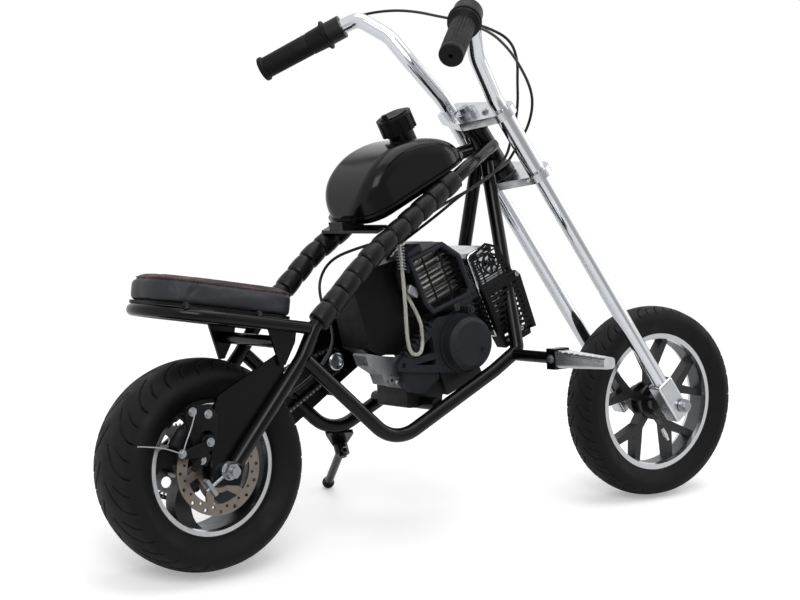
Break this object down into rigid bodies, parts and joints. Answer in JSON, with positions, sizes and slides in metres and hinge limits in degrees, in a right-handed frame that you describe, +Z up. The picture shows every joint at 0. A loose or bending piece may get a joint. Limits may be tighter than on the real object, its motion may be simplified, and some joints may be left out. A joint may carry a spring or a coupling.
{
  "type": "minibike",
  "caption": "Small two-wheeled minibike in chopper style: raked fork, high bars, wrapped tube frame, open engine, chain drive, padded seat, side stand.",
  "frame": {"origin": "centre of the bounding box at floor level, as it leans on its side stand", "axes": "+X forward along the bike, +Y to its left, +Z up from the floor"},
  "size_m": [1.0584, 0.6128, 0.7418],
  "materials": {
    "paint": "gloss black",
    "wrap": "black bands, slight sheen",
    "chrome": "polished",
    "steel": "zinc plated",
    "cast": "die cast, satin",
    "alloy": "polished",
    "black_cast": "satin black",
    "plastic": "moulded, matte",
    "grey_plastic": "moulded, satin",
    "tyre": "tread rubber",
    "rubber": "moulded rubber",
    "vinyl": "grey black vinyl, red stitching",
    "clear_hose": "clear yellowed tube"
  },
  "bodies": {
    "frame": {"head_tube": "paint", "rail_left": "paint", "rail_right": "paint", "rail_wraps": "wrap", "lower_loop_left": "paint", "lower_loop_right": "paint", "seat_tube": "paint", "cross_bars": "paint", "seat_gussets": "paint", "dropouts": "paint", "rear_axle": "steel", "brake_caliper": "black_cast", "jackshaft": "steel", "chain": "steel", "chain_guard": "paint", "chain_adjusters": "steel", "chain_guide": "plastic", "engine_block": "cast", "starter_housing": "grey_plastic", "clutch_cover": "black_cast", "carburettor": "cast", "sump_cover": "grey_plastic", "fuel_filter": "plastic", "cylinder_shroud": "plastic", "recoil_cover": "grey_plastic", "muffler": "alloy", "muffler_guard": "plastic", "air_box": "plastic", "gear_case": "cast", "fuel_tank": "paint", "fuel_cap": "plastic", "tank_bracket": "paint", "seat_pan": "plastic", "seat_pad": "vinyl", "fuel_hose": "clear_hose", "peg_arms": "paint", "foot_pegs": "alloy", "stand_bracket": "paint"},
    "rear_wheel": {"rear_tyre": "tyre", "rear_rim": "alloy", "brake_disc": "steel", "rear_sprocket": "steel"},
    "steering": {"fork_tubes": "chrome", "fork_ends": "alloy", "lower_clamp": "alloy", "upper_clamp": "alloy", "steering_stem": "steel", "front_axle": "steel", "handlebars": "chrome", "grips": "rubber", "throttle_housing": "plastic", "brake_lever": "alloy"},
    "front_wheel": {"front_tyre": "tyre", "front_rim": "alloy"},
    "side_stand": {"side_stand": "paint"}
  },
  "joints": [
    {"name": "rear_wheel_spin", "type": "hinge", "parent": "frame", "child": "rear_wheel", "pos_m": [-0.39173, -0.05557, 0.13704], "axis": [0, 0.9781, -0.2079], "continuous": true},
    {"name": "steering_turn", "type": "hinge", "parent": "frame", "child": "steering", "pos_m": [0.09774, 0.02508, 0.51647], "axis": [-0.5678, 0.1711, 0.8051], "range_deg": [-27, 33]},
    {"name": "front_wheel_spin", "type": "hinge", "parent": "steering", "child": "front_wheel", "pos_m": [0.38675, -0.0557, 0.1413], "axis": [0.0416, 0.9829, -0.1795], "continuous": true},
    {"name": "side_stand_fold", "type": "hinge", "parent": "frame", "child": "side_stand", "pos_m": [-0.10673, 0.03756, 0.09424], "axis": [0.087, 0.655, 0.7506], "range_deg": [0, 100]}
  ]
}
